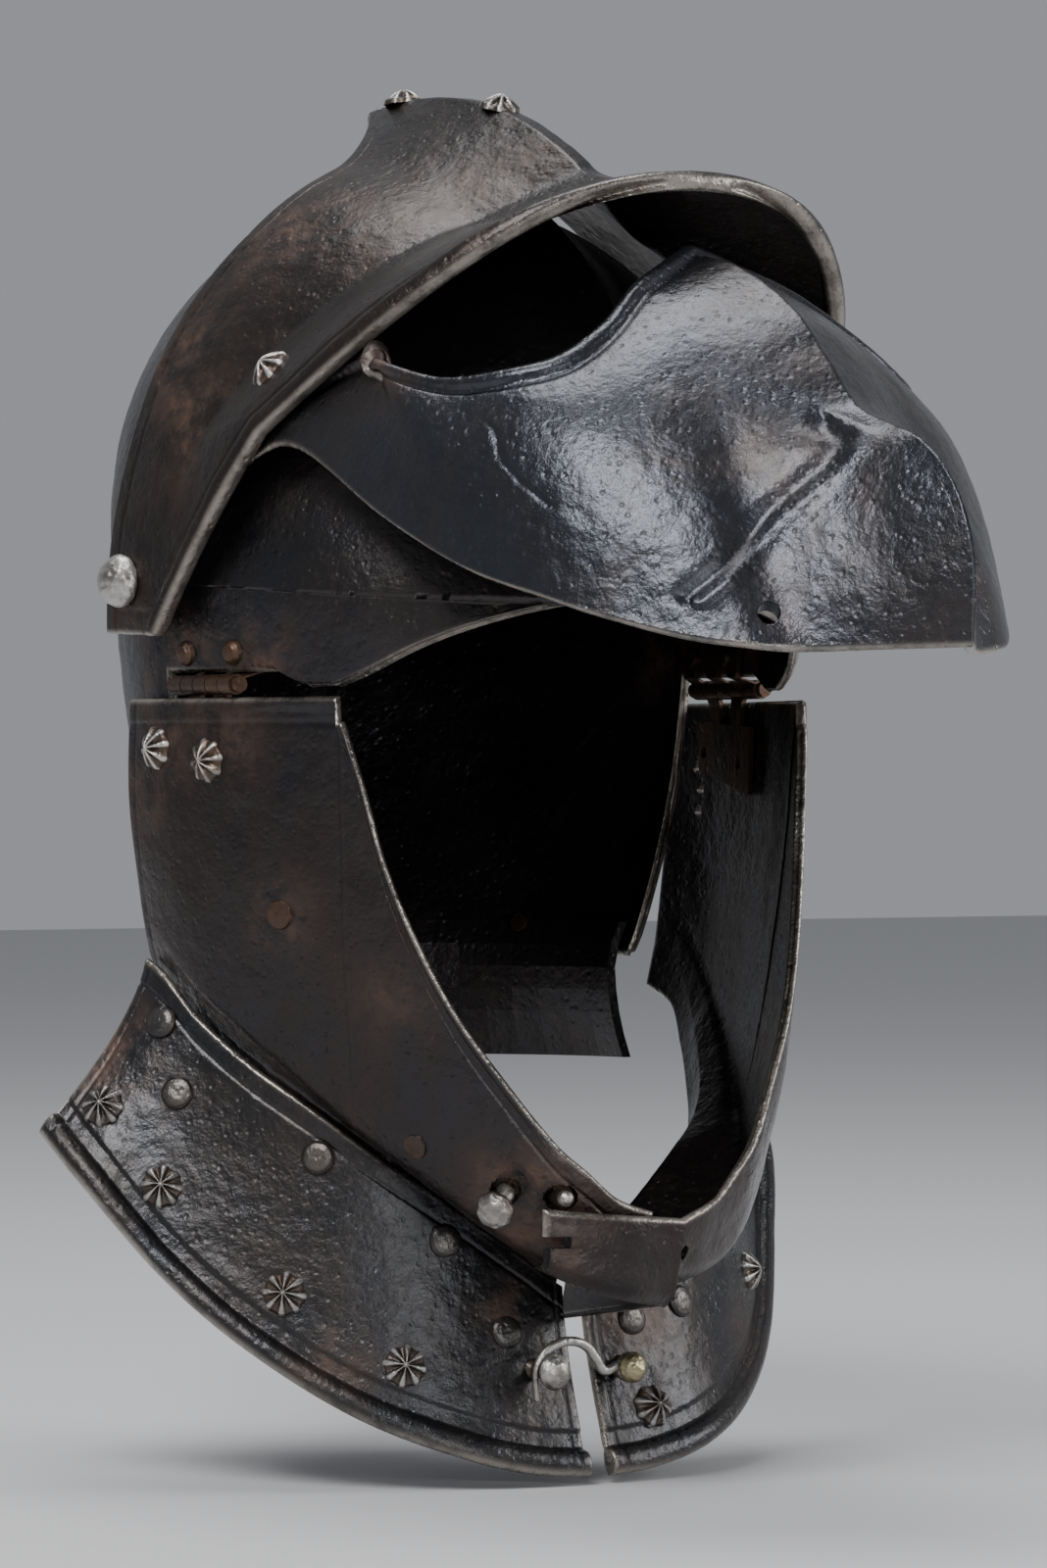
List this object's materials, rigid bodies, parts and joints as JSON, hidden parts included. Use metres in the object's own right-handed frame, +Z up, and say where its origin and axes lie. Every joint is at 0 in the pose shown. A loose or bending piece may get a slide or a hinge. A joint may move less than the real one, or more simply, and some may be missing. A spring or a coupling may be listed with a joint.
{
  "type": "siege helmet",
  "caption": "Heavy iron siege close helmet with raised peak and visor, side-hinged cheekpieces, a chin strap plate and a split gorget",
  "frame": {"origin": "midpoint of the axis through the two side pivots, which is the head_seat mount", "axes": "+X to the wearer's left, -Y forward, +Z up"},
  "size_m": [0.2402, 0.3542, 0.3759],
  "materials": {
    "skull_iron": "blackened and pitted, waxed",
    "peak_iron": "russet brown and pitted, waxed",
    "visor_iron": "blackened with a blue-grey sheen, waxed",
    "cheek_iron": "russet brown and pitted, waxed",
    "gorget_iron": "blackened with a grey sheen, waxed",
    "rusty_iron": "rusted",
    "bright_iron": "worn bright, dark in the recesses",
    "hook_brass": "dull"
  },
  "bodies": {
    "skull": {"skull": "skull_iron", "nape_plate": "gorget_iron", "nape_rivets": "rusty_iron", "pivot_bolt_right": "bright_iron", "pivot_bolt_left": "bright_iron", "pivot_nut_right": "rusty_iron", "pivot_nut_left": "rusty_iron", "hinge_leaf_skull_right": "rusty_iron", "hinge_leaf_skull_left": "rusty_iron", "hinge_rivets_skull": "rusty_iron", "hinge_pin_right": "rusty_iron", "hinge_pin_left": "rusty_iron"},
    "visor": {"visor": "visor_iron"},
    "peak": {"peak": "peak_iron", "peak_rosettes": "bright_iron"},
    "cheek_right": {"cheek_right": "cheek_iron", "hinge_leaf_cheek_right": "rusty_iron", "hinge_rosettes_right": "bright_iron", "gorget_right": "gorget_iron", "gorget_rosettes_right": "bright_iron", "gorget_rivets_right": "rusty_iron", "hook_stud": "bright_iron", "cheek_plug": "rusty_iron", "catch_rivet": "rusty_iron"},
    "visor_catch": {"catch_spring": "rusty_iron", "catch_knob": "bright_iron", "catch_stud": "rusty_iron"},
    "cheek_left": {"cheek_left": "cheek_iron", "hinge_leaf_cheek_left": "rusty_iron", "hinge_rosettes_left": "bright_iron", "gorget_left": "gorget_iron", "gorget_rosettes_left": "bright_iron", "gorget_rivets_left": "rusty_iron", "hook_pivot": "hook_brass"},
    "closure_hook": {"closure_hook": "bright_iron"}
  },
  "joints": [
    {"name": "visor_pivot", "type": "hinge", "parent": "skull", "child": "visor", "pos_m": [0, 0, 0], "axis": [-1, 0, 0], "range_deg": [-49, 0]},
    {"name": "peak_pivot", "type": "hinge", "parent": "visor", "child": "peak", "pos_m": [0, 0, 0], "axis": [-1, 0, 0], "range_deg": [0, 50]},
    {"name": "cheek_right_hinge", "type": "hinge", "parent": "skull", "child": "cheek_right", "pos_m": [-0.0865, -0.025, -0.028], "axis": [0, 1, 0], "range_deg": [0, 45]},
    {"name": "cheek_left_hinge", "type": "hinge", "parent": "skull", "child": "cheek_left", "pos_m": [0.0865, -0.025, -0.028], "axis": [0, -1, 0], "range_deg": [0, 45]},
    {"name": "catch_flex", "type": "hinge", "parent": "cheek_right", "child": "visor_catch", "pos_m": [-0.0532, -0.0787, -0.149], "axis": [0, 0, 1], "range_deg": [0, 4.5], "stiffness_Nm_per_rad": 1.2, "springref_deg": -2.86},
    {"name": "hook_pivot_turn", "type": "hinge", "parent": "cheek_left", "child": "closure_hook", "pos_m": [0.0104, -0.082, -0.20982], "axis": [0, 1, 0], "range_deg": [0, 24]}
  ],
  "couplings": [
    {"joint": "cheek_right_hinge", "follows": "cheek_left_hinge", "ratio": 1}
  ]
}
